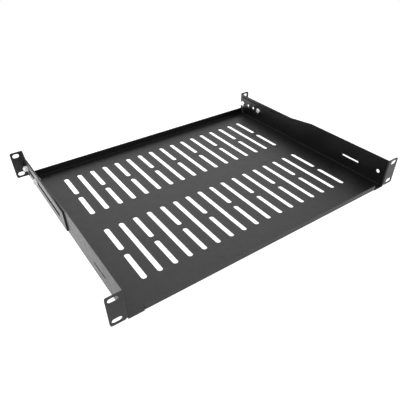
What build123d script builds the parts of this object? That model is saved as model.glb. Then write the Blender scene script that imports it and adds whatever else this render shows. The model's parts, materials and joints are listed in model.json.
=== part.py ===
"""Vented 1U rack shelf, folded from one steel sheet, with two adjustable rear brackets.

Millimetres. +X to the right, +Y to the back of the rack, +Z up.
The origin is the centre of the four front rack slots, on the front face of the ears.
"""
from build123d import *
import os

# Front rack fixing: a 19 inch rack, one unit high
rack_hole_span = 465.1
rack_hole_rise = 31.75
ear_side_margin = 8.75
ear_end_margin = 6.125
ear_corner_radius = 3.0
front_slot_length = 12.5
front_slot_width = 7.0

# Tray, folded from one sheet
sheet = 1.5
bend_inner_radius = 0.5
wall_to_rack_holes = 11.55
tray_depth = 350.0
underside_drop = 1.5
rear_wall_drop = 12.4
drop_start = 159.0
drop_length = 95.0
front_lip_height = 9.0
front_lip_side_gap = 21.0
rear_flange_height = 12.8
rear_flange_inset = 2.0
fold_relief = 0.5
notch_width = 2.7
notch_height = 2.4
notch_clearance = 0.4

# Deck slots: pairs of short slots stand between long slots, in two rows
long_slots = 8
slot_width = 7.5
slot_bridge = 9.0
row_gap = 40.8
slots_to_wall = 43.9
slots_to_front = 41.7
slots_to_rear = 36.7

# Openings in the side walls, on or below the line of the screws
rail_z = -1.8
tie_hole_diameter = 6.2
tie_hole_y = 14.2
tie_slot_y = 67.3
tie_slot_drop = 1.9
tie_slot_length = 33.0
tie_slot_width = 3.2
screw_hole_diameter = 6.2
rear_screw_edge = 4.5
screw_hole_pitch = 15.9
screw_holes = 4

# Rear brackets: both are one part, and the right one is turned over
bracket_sheet = 2.0
bracket_length = 182.0
bracket_front_radius = 1.5
bracket_height = 32.0
bracket_clearance = 0.3
bracket_side_margin = 8.25
bracket_end_margin = 6.125
bracket_ear_rise = 4.5
bracket_ear_gap = 5.0
bracket_neck = 8.0
rear_slot_length = 10.0
rear_slot_width = 7.0
bracket_slot_width = 6.4
bracket_slot_margin = 18.0
bracket_slot_end_gap = 0.3

# Fasteners
screw_diameter = 5.0
head_diameter = 10.0
head_height = 2.4
head_bevel = 1.2
cross_span = 5.2
cross_width = 1.1
cross_depth = 1.4
screw_tip = 1.4
washer_diameter = 10.0
washer_thickness = 1.0
washer_clearance = 0.15
nut_across_flats = 8.0
nut_height = 4.0
nut_bevel = 0.6
thread_clearance = 0.05

# Worked out from the sizes above
half_width = rack_hole_span / 2 - wall_to_rack_holes
half_ear = rack_hole_span / 2 + ear_side_margin
ear_height = rack_hole_rise + 2 * ear_end_margin
half_lip = half_width - front_lip_side_gap
inner_face = half_width - sheet
bend_outer_radius = bend_inner_radius + sheet
bend_zone = bend_outer_radius + fold_relief
flat_half_width = half_width - bend_outer_radius
wall_top = ear_height / 2
ear_bottom = -ear_height / 2
tray_underside = ear_bottom - underside_drop
deck_top = tray_underside + sheet
foot_top = ear_bottom + notch_height
flange_back = tray_depth - rear_flange_inset
slot_pitch = (half_width - slots_to_wall) / long_slots
long_slot_length = (tray_depth - slots_to_front - slots_to_rear - row_gap) / 2
short_slot_length = (long_slot_length - slot_bridge) / 2
row_pitch = long_slot_length + row_gap
rows_middle = slots_to_front + (long_slot_length + row_pitch) / 2
rear_screw_y = tray_depth - rear_screw_edge
front_screw_y = rear_screw_y - (screw_holes - 1) * screw_hole_pitch
bracket_inner = half_width + bracket_clearance
bracket_outer = bracket_inner + bracket_sheet
bracket_half_ear = rack_hole_span / 2 + bracket_side_margin
bracket_ear_height = rack_hole_rise + 2 * bracket_end_margin
nut_seat = bracket_outer + washer_thickness
bracket_ear_front = tray_depth + bracket_ear_gap
bracket_ear_back = bracket_ear_front + bracket_sheet
bracket_front = bracket_ear_back - bracket_length
ear_middle_z = rail_z + bracket_ear_rise


def folded_strip(start, corner, end, thickness, side):
    """Outline of a strip of sheet, seen on edge, with one bend at its corner."""
    with BuildSketch(Plane.XY) as strip:
        with BuildLine():
            FilletPolyline(start, corner, end, radius=bend_inner_radius + thickness)
            offset(amount=thickness, side=side)
        make_face()
    return strip.sketch


# Right rack ear of the tray, folded outward from the front of the side wall
with BuildPart() as front_ear:
    with BuildSketch(Plane.XY.offset(ear_bottom)):
        add(folded_strip((inner_face, bend_zone), (inner_face, 0), (half_ear, 0), sheet, Side.LEFT))
    extrude(amount=ear_height)
    fillet(front_ear.edges().filter_by(Axis.Y).group_by(Axis.X)[-1], radius=ear_corner_radius)

    # Its foot slopes up to the bend and stays clear of the deck's bend
    with BuildSketch(Plane.XZ):
        with BuildLine():
            Polyline(
                (inner_face, ear_bottom),
                (half_width + notch_width, ear_bottom),
                (half_width, foot_top),
                (inner_face, foot_top),
                close=True,
            )
        make_face()
    extrude(amount=-bend_zone, mode=Mode.SUBTRACT)

    # Rack slots
    with BuildSketch(Plane.XZ):
        with Locations((rack_hole_span / 2, 0)):
            with GridLocations(0, rack_hole_rise, 1, 2):
                SlotOverall(front_slot_length, front_slot_width)
    extrude(amount=-sheet, mode=Mode.SUBTRACT)

# Tray: the deck and the side walls are one folded channel
with BuildPart() as tray:
    with BuildSketch(Plane.XZ):
        with BuildLine():
            FilletPolyline(
                (-half_width, wall_top),
                (-half_width, tray_underside),
                (half_width, tray_underside),
                (half_width, wall_top),
                radius=bend_outer_radius,
            )
            offset(amount=sheet, side=Side.LEFT)
        make_face()
    extrude(amount=-tray_depth)

    # The side walls are cut lower behind the middle of the tray
    with BuildSketch(Plane.YZ):
        with BuildLine():
            Polyline(
                (drop_start, wall_top),
                (drop_start + drop_length, wall_top - rear_wall_drop),
                (tray_depth, wall_top - rear_wall_drop),
                (tray_depth, wall_top),
                close=True,
            )
        make_face()
    extrude(amount=half_width, both=True, mode=Mode.SUBTRACT)

    # Above the ears' feet the walls start behind the ears' bends
    with BuildSketch(Plane.XZ.offset(-bend_zone / 2)):
        with Locations((0, foot_top - notch_clearance)):
            Rectangle(2 * half_ear, ear_height, align=(Align.CENTER, Align.MIN))
    extrude(amount=bend_zone / 2, both=True, mode=Mode.SUBTRACT)

    # The flat deck stops where the front lip and the rear flange fold up
    with BuildSketch(Plane.XY.offset(tray_underside)):
        Rectangle(2 * (half_lip + fold_relief), 2 * bend_zone)
        with Locations((0, tray_depth)):
            Rectangle(2 * flat_half_width, 2 * (bend_zone + rear_flange_inset))
    extrude(amount=sheet, mode=Mode.SUBTRACT)

    # Front lip
    with BuildSketch(Plane.YZ):
        lip_start = (bend_zone, tray_underside)
        lip_end = (0, tray_underside + front_lip_height)
        add(folded_strip(lip_start, (0, tray_underside), lip_end, sheet, Side.RIGHT))
    extrude(amount=half_lip, both=True)

    # Rear flange
    with BuildSketch(Plane.YZ):
        flange_start = (flange_back - bend_zone, tray_underside)
        flange_end = (flange_back, tray_underside + rear_flange_height)
        add(folded_strip(flange_start, (flange_back, tray_underside), flange_end, sheet, Side.LEFT))
    extrude(amount=flat_half_width - fold_relief, both=True)

    # Rack ears, one on each side
    add(front_ear.part)
    mirror(front_ear.part, about=Plane.YZ)

    # Deck slots
    with BuildSketch(Plane.XY.offset(tray_underside)):
        with Locations((0, rows_middle)):
            with GridLocations(2 * slot_pitch, row_pitch, long_slots, 2):
                SlotOverall(long_slot_length, slot_width, rotation=90)
            with GridLocations(2 * slot_pitch, row_pitch, long_slots + 1, 2):
                with GridLocations(0, short_slot_length + slot_bridge, 1, 2):
                    SlotOverall(short_slot_length, slot_width, rotation=90)
    extrude(amount=sheet, mode=Mode.SUBTRACT)

    # Wall openings: a round hole, a tie slot and a row of screw holes on each side
    with BuildSketch(Plane.YZ):
        with Locations((tie_hole_y, rail_z)):
            Circle(tie_hole_diameter / 2)
        with Locations((tie_slot_y, rail_z - tie_slot_drop)):
            SlotOverall(tie_slot_length, tie_slot_width)
        with Locations(((front_screw_y + rear_screw_y) / 2, rail_z)):
            with GridLocations(screw_hole_pitch, 0, screw_holes, 1):
                Circle(screw_hole_diameter / 2)
    extrude(amount=half_width, both=True, mode=Mode.SUBTRACT)

# Left rear bracket: a slotted side plate with a rack ear folded outward
with BuildPart() as left_bracket:
    with BuildSketch(Plane.XY.offset(ear_middle_z - bracket_ear_height / 2)):
        plate_start = (-bracket_inner, bracket_front)
        plate_corner = (-bracket_inner, bracket_ear_back)
        ear_end = (-bracket_half_ear, bracket_ear_back)
        add(folded_strip(plate_start, plate_corner, ear_end, bracket_sheet, Side.LEFT))
    extrude(amount=bracket_ear_height)
    fillet(left_bracket.edges().filter_by(Axis.Y).group_by(Axis.X)[0], radius=ear_corner_radius)

    # The side plate is lower than the ear, and a short neck joins them
    plate_top = rail_z + bracket_height / 2
    plate_bottom = rail_z - bracket_height / 2
    ear_top = ear_middle_z + bracket_ear_height / 2
    ear_foot_z = ear_middle_z - bracket_ear_height / 2
    neck_back = bracket_ear_front - bend_inner_radius
    neck_front = neck_back - bracket_neck
    with BuildSketch(Plane.YZ) as bracket_outline:
        with BuildLine():
            Polyline(
                (bracket_front, plate_bottom),
                (neck_front, plate_bottom),
                (neck_back, ear_foot_z),
                (bracket_ear_back, ear_foot_z),
                (bracket_ear_back, ear_top),
                (neck_back, ear_top),
                (neck_front, plate_top),
                (bracket_front, plate_top),
                close=True,
            )
        make_face()
        fillet(bracket_outline.vertices().group_by(Axis.X)[0], radius=bracket_front_radius)
    extrude(amount=-bracket_half_ear, mode=Mode.INTERSECT)

    # The long slot ends just behind the rear screw when the bracket is pushed in
    slot_start = bracket_front + bracket_slot_margin
    slot_end = rear_screw_y + bracket_slot_width / 2 + bracket_slot_end_gap
    with BuildSketch(Plane.YZ):
        with Locations(((slot_start + slot_end) / 2, rail_z)):
            SlotOverall(slot_end - slot_start, bracket_slot_width)
    extrude(amount=-bracket_outer, mode=Mode.SUBTRACT)

    # Rack slots in the ear
    with BuildSketch(Plane.XZ.offset(-bracket_ear_back)):
        with Locations((-rack_hole_span / 2, ear_middle_z)):
            with GridLocations(0, rack_hole_rise, 1, 2):
                SlotOverall(rear_slot_length, rear_slot_width)
    extrude(amount=bracket_sheet, mode=Mode.SUBTRACT)

# Right rear bracket: the same part, turned over about the line of the screws
screw_line = Axis((0, 0, rail_z), (0, 1, 0))
with BuildPart() as right_bracket:
    add(left_bracket.part.rotate(screw_line, 180))


def pan_head_screw(side, y):
    """Screw from inside the tray, through wall, bracket, washer and nut."""
    tip = nut_seat + nut_height + screw_tip - inner_face
    section_plane = Plane(
        origin=(side * inner_face, y, rail_z), x_dir=(side, 0, 0), z_dir=(0, -side, 0)
    )
    head_plane = Plane(
        origin=(side * (inner_face - head_height), y, rail_z), x_dir=(0, 1, 0), z_dir=(-side, 0, 0)
    )
    with BuildPart() as screw:
        with BuildSketch(section_plane):
            with BuildLine():
                Polyline(
                    (-head_height, 0),
                    (-head_height, head_diameter / 2 - head_bevel),
                    (head_bevel - head_height, head_diameter / 2),
                    (0, head_diameter / 2),
                    (0, screw_diameter / 2),
                    (tip, screw_diameter / 2),
                    (tip, 0),
                    close=True,
                )
            make_face()
        revolve(axis=Axis((0, y, rail_z), (1, 0, 0)))
        with BuildSketch(head_plane):
            Rectangle(cross_span, cross_width)
            Rectangle(cross_width, cross_span)
        extrude(amount=-cross_depth, mode=Mode.SUBTRACT)
    return screw


def flat_washer(side, y):
    """Washer that spans the bracket's slot under the nut."""
    seat = Plane(origin=(side * bracket_outer, y, rail_z), x_dir=(0, 1, 0), z_dir=(side, 0, 0))
    with BuildPart() as washer:
        with BuildSketch(seat):
            Circle(washer_diameter / 2)
            Circle(screw_diameter / 2 + washer_clearance, mode=Mode.SUBTRACT)
        extrude(amount=washer_thickness)
    return washer


def hex_nut(side, y):
    """Hexagon nut against its washer, with its outer corners bevelled."""
    seat = Plane(origin=(side * nut_seat, y, rail_z), x_dir=(0, 0, 1), z_dir=(side, 0, 0))
    section_plane = Plane(
        origin=(side * nut_seat, y, rail_z), x_dir=(side, 0, 0), z_dir=(0, -side, 0)
    )
    corner_radius = nut_across_flats / 3**0.5
    with BuildPart() as nut:
        with BuildSketch(seat):
            RegularPolygon(nut_across_flats / 2, 6, major_radius=False)
            Circle(screw_diameter / 2 + thread_clearance, mode=Mode.SUBTRACT)
        extrude(amount=nut_height)
        with BuildSketch(section_plane):
            with BuildLine():
                Polyline(
                    (0, 0),
                    (0, corner_radius + nut_bevel),
                    (nut_height - 2 * nut_bevel, corner_radius + nut_bevel),
                    (nut_height, corner_radius - nut_bevel),
                    (nut_height, 0),
                    close=True,
                )
            make_face()
        revolve(axis=Axis((0, y, rail_z), (1, 0, 0)), mode=Mode.INTERSECT)
    return nut


# Two screws a side, each with its washer and nut
pieces = {"tray": tray, "left_bracket": left_bracket, "right_bracket": right_bracket}
for side_name, side in (("left", -1), ("right", 1)):
    for place, screw_y in (("front", front_screw_y), ("rear", rear_screw_y)):
        stack = f"{side_name}_{place}"
        pieces[f"{stack}_screw"] = pan_head_screw(side, screw_y)
        pieces[f"{stack}_washer"] = flat_washer(side, screw_y)
        pieces[f"{stack}_nut"] = hex_nut(side, screw_y)

os.makedirs("parts", exist_ok=True)
for name, piece in pieces.items():
    piece.part.label = name
    export_step(piece.part, f"parts/{name}.step")
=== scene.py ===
"""Looks for the rack shelf: powder coat, zinc, floor, lights and the photo's camera.

Lengths are metres, noise scales are per metre and light powers are watts.
"""

import json

import bpy
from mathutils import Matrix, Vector


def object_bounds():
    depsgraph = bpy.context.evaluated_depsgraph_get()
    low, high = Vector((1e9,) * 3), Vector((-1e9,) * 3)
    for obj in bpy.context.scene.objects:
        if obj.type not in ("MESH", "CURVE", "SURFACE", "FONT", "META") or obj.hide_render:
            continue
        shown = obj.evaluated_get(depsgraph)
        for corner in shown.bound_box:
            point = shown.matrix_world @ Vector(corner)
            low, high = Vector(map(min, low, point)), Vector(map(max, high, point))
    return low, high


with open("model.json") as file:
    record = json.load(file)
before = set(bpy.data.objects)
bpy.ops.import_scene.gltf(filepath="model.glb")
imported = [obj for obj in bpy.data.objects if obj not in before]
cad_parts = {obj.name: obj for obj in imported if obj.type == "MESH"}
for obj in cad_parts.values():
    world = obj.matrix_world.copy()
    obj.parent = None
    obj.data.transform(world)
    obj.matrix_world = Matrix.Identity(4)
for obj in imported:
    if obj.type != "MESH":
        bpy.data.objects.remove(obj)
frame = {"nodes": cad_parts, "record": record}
size_at_load = [list(c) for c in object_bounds()]

# Powder coat. Nearly all that the photo shows of it is gloss, so the colour is very dark
coat_black = (0.0015, 0.0015, 0.0016, 1)
# Painted highlight: a paler colour along the rounded edges, in patches
coat_edge_highlight = (0.04, 0.04, 0.041, 1)
coat_ior = 1.47
coat_roughness = (0.32, 0.46)
# Width of the rounded edge that the painted highlight covers
highlight_width = 0.0006
patch_scale = 350
cloud_scale = 90
grain_scale = 1100
grain_depth = 0.0002

# Bright zinc
zinc_colour = (0.88, 0.89, 0.91, 1)
zinc_roughness = (0.42, 0.54)
zinc_scale = 900

# The middle part of a noise, which a ramp spreads over its whole range
noise_range = (0.3, 0.7)
patch_range = (0.42, 0.62)

# Agreement of the rounded normal with the flat one: on a face, and well round a corner
face_to_corner = (0.98, 0.8)

# Stage: floor and world add their glow for the rays that see them, up to white
floor_size = 3
floor_drop = 0.25
floor_glow = 0.5
sky_level = 0.7
sky_glow = 0.3

# Lights: name, place, target, width, height, power
softboxes = [
    ("panel_above", (0.45, 0.8, 1.05), (0, 0.17, 0), 1.2, 1.0, 2.9),
    ("panel_behind", (0.45, 1.15, 0.75), (0, 0.25, 0), 1.4, 0.8, 0.8),
    ("panel_front", (-0.1, -1.0, 0.9), (0, 0.17, 0), 1.4, 0.8, 1.2),
    ("strip_left", (-0.75, 0.75, -0.14), (-0.22, 0.17, 0), 0.8, 0.2, 3.0),
    ("fill_left", (-0.9, -0.2, 0.65), (0.2, 0.2, 0), 0.6, 0.6, 1.8),
]


def new_material(name):
    """A material with a principled shader, its node tree and that shader."""
    mat = bpy.data.materials.new(name)
    mat.use_nodes = True
    tree = mat.node_tree
    tree.nodes.clear()
    out = tree.nodes.new("ShaderNodeOutputMaterial")
    shader = tree.nodes.new("ShaderNodeBsdfPrincipled")
    tree.links.new(shader.outputs["BSDF"], out.inputs["Surface"])
    return mat, tree, shader


def noise(tree, scale, detail, roughness=0.5):
    """Noise in the piece's own coordinates."""
    coords = tree.nodes.new("ShaderNodeTexCoord")
    tex = tree.nodes.new("ShaderNodeTexNoise")
    tex.inputs["Scale"].default_value = scale
    tex.inputs["Detail"].default_value = detail
    tex.inputs["Roughness"].default_value = roughness
    tree.links.new(coords.outputs["Object"], tex.inputs["Vector"])
    return tex.outputs["Fac"]


def ramp(tree, source, span, result=(0.0, 1.0)):
    """Map source from span to result, both given as start and end."""
    step = tree.nodes.new("ShaderNodeMapRange")
    step.inputs["From Min"].default_value, step.inputs["From Max"].default_value = span
    step.inputs["To Min"].default_value, step.inputs["To Max"].default_value = result
    tree.links.new(source, step.inputs["Value"])
    return step.outputs["Result"]


def edge_mask(tree, radius):
    """0 on flat faces, rising to 1 where a rounded corner would turn the normal."""
    soft = tree.nodes.new("ShaderNodeBevel")
    soft.samples = 4
    soft.inputs["Radius"].default_value = radius
    flat = tree.nodes.new("ShaderNodeNewGeometry")
    agree = tree.nodes.new("ShaderNodeVectorMath")
    agree.operation = "DOT_PRODUCT"
    tree.links.new(soft.outputs["Normal"], agree.inputs[0])
    tree.links.new(flat.outputs["Normal"], agree.inputs[1])
    return ramp(tree, agree.outputs["Value"], face_to_corner)


def powder_coat():
    """Black powder coat: dark, satin, with a fine texture and a painted highlight that makes
    the edges a little paler.
    """
    mat, tree, shader = new_material("black_powder_coat")
    shader.inputs["IOR"].default_value = coat_ior
    shader.inputs["Specular IOR Level"].default_value = 0.5

    # Colour: black, with a painted highlight that makes it paler in patches along the rounded
    # edges
    # Painted highlight where the rounded normal turns away from the flat one
    edge_highlight = edge_mask(tree, highlight_width)
    patches = ramp(tree, noise(tree, patch_scale, 4), patch_range)
    amount = tree.nodes.new("ShaderNodeMath")
    amount.operation = "MULTIPLY"
    tree.links.new(edge_highlight, amount.inputs[0])
    tree.links.new(patches, amount.inputs[1])
    colour = tree.nodes.new("ShaderNodeMix")
    colour.data_type = "RGBA"
    colour.inputs["A"].default_value = coat_black
    colour.inputs["B"].default_value = coat_edge_highlight
    tree.links.new(amount.outputs["Value"], colour.inputs["Factor"])
    tree.links.new(colour.outputs["Result"], shader.inputs["Base Color"])

    # Gloss: a faint cloud from the spray
    clouds = noise(tree, cloud_scale, 6, 0.8)
    tree.links.new(ramp(tree, clouds, noise_range, coat_roughness), shader.inputs["Roughness"])

    # Texture: the fine orange peel of the powder
    grain = noise(tree, grain_scale, 3)
    bump = tree.nodes.new("ShaderNodeBump")
    bump.inputs["Strength"].default_value = 1.0
    bump.inputs["Distance"].default_value = grain_depth
    tree.links.new(grain, bump.inputs["Height"])
    tree.links.new(bump.outputs["Normal"], shader.inputs["Normal"])
    return mat


def bright_zinc():
    """Zinc plating: a bright metal with slight clouding."""
    mat, tree, shader = new_material("bright_zinc")
    shader.inputs["Metallic"].default_value = 1.0
    shader.inputs["Base Color"].default_value = zinc_colour
    clouds = noise(tree, zinc_scale, 3)
    tree.links.new(ramp(tree, clouds, noise_range, zinc_roughness), shader.inputs["Roughness"])
    return mat


def strength_by_ray(tree, base, glow):
    """Base strength, and glow on top for the rays that see the surface itself."""
    path = tree.nodes.new("ShaderNodeLightPath")
    total = None
    for ray in ("Is Camera Ray", "Is Glossy Ray", "Is Transmission Ray"):
        step = tree.nodes.new("ShaderNodeMath")
        step.operation = "MULTIPLY_ADD"
        step.inputs[1].default_value = glow
        step.inputs[2].default_value = base
        tree.links.new(path.outputs[ray], step.inputs[0])
        if total:
            tree.links.new(total, step.inputs[2])
        total = step.outputs["Value"]
    return total


def add_glow(tree, shader, glow):
    """Add to a stage material the glow that the camera and reflections see."""
    light = tree.nodes.new("ShaderNodeEmission")
    tree.links.new(strength_by_ray(tree, 0.0, glow), light.inputs["Strength"])
    both = tree.nodes.new("ShaderNodeAddShader")
    tree.links.new(shader.outputs["BSDF"], both.inputs[0])
    tree.links.new(light.outputs["Emission"], both.inputs[1])
    tree.links.new(both.outputs["Shader"], tree.nodes["Material Output"].inputs["Surface"])


def softbox(name, place, target, width, height, power):
    """Rectangular light at place, turned to target and unseen by the camera."""
    data = bpy.data.lights.new(name, "AREA")
    data.shape = "RECTANGLE"
    data.size = width
    data.size_y = height
    data.energy = power
    light = bpy.data.objects.new(name, data)
    bpy.context.collection.objects.link(light)
    light.visible_camera = False
    light.location = place
    towards = Vector(target) - Vector(place)
    light.rotation_euler = towards.to_track_quat("-Z", "Y").to_euler()


finishes = {"black_powder_coat": powder_coat(), "bright_zinc": bright_zinc()}
for entry in frame["record"]["subparts"]:
    piece = frame["nodes"][entry["node"]]
    piece.data.materials.clear()
    piece.data.materials.append(finishes[entry["material_slot"]])

# White floor, so far below the shelf that its shadow is faint, as in the photo
low = size_at_load[0][2]
bpy.ops.mesh.primitive_plane_add(size=floor_size, location=(0, 0, low - floor_drop))
floor = bpy.context.object
floor.name = "floor"
floor_mat, floor_tree, floor_shader = new_material("floor")
floor_shader.inputs["Base Color"].default_value = (0.9, 0.9, 0.9, 1)
floor_shader.inputs["Roughness"].default_value = 0.9
floor_shader.inputs["Specular IOR Level"].default_value = 0.0
add_glow(floor_tree, floor_shader, floor_glow)
floor.data.materials.append(floor_mat)

# White surroundings, which light the shelf a little less than they show
world = bpy.data.worlds.new("world")
bpy.context.scene.world = world
world.use_nodes = True
sky = world.node_tree
background = sky.nodes["Background"]
background.inputs["Color"].default_value = (1, 1, 1, 1)
sky.links.new(strength_by_ray(sky, sky_level, sky_glow), background.inputs["Strength"])

for values in softboxes:
    softbox(*values)

# The photo's camera, solved from the ears, the walls and the deck's slots
eye = bpy.data.cameras.new("camera")
eye.sensor_width = 36
eye.lens = 36.705
eye.shift_x = -0.01941
eye.shift_y = 0.04475
eye.clip_start = 0.01
camera = bpy.data.objects.new("camera", eye)
bpy.context.collection.objects.link(camera)
camera.location = (-0.31011, -0.28002, 0.33443)
camera.rotation_euler = (0.90706, 0.00755, -0.61567)
bpy.context.scene.camera = camera
bpy.context.scene.view_settings.view_transform = "Standard"
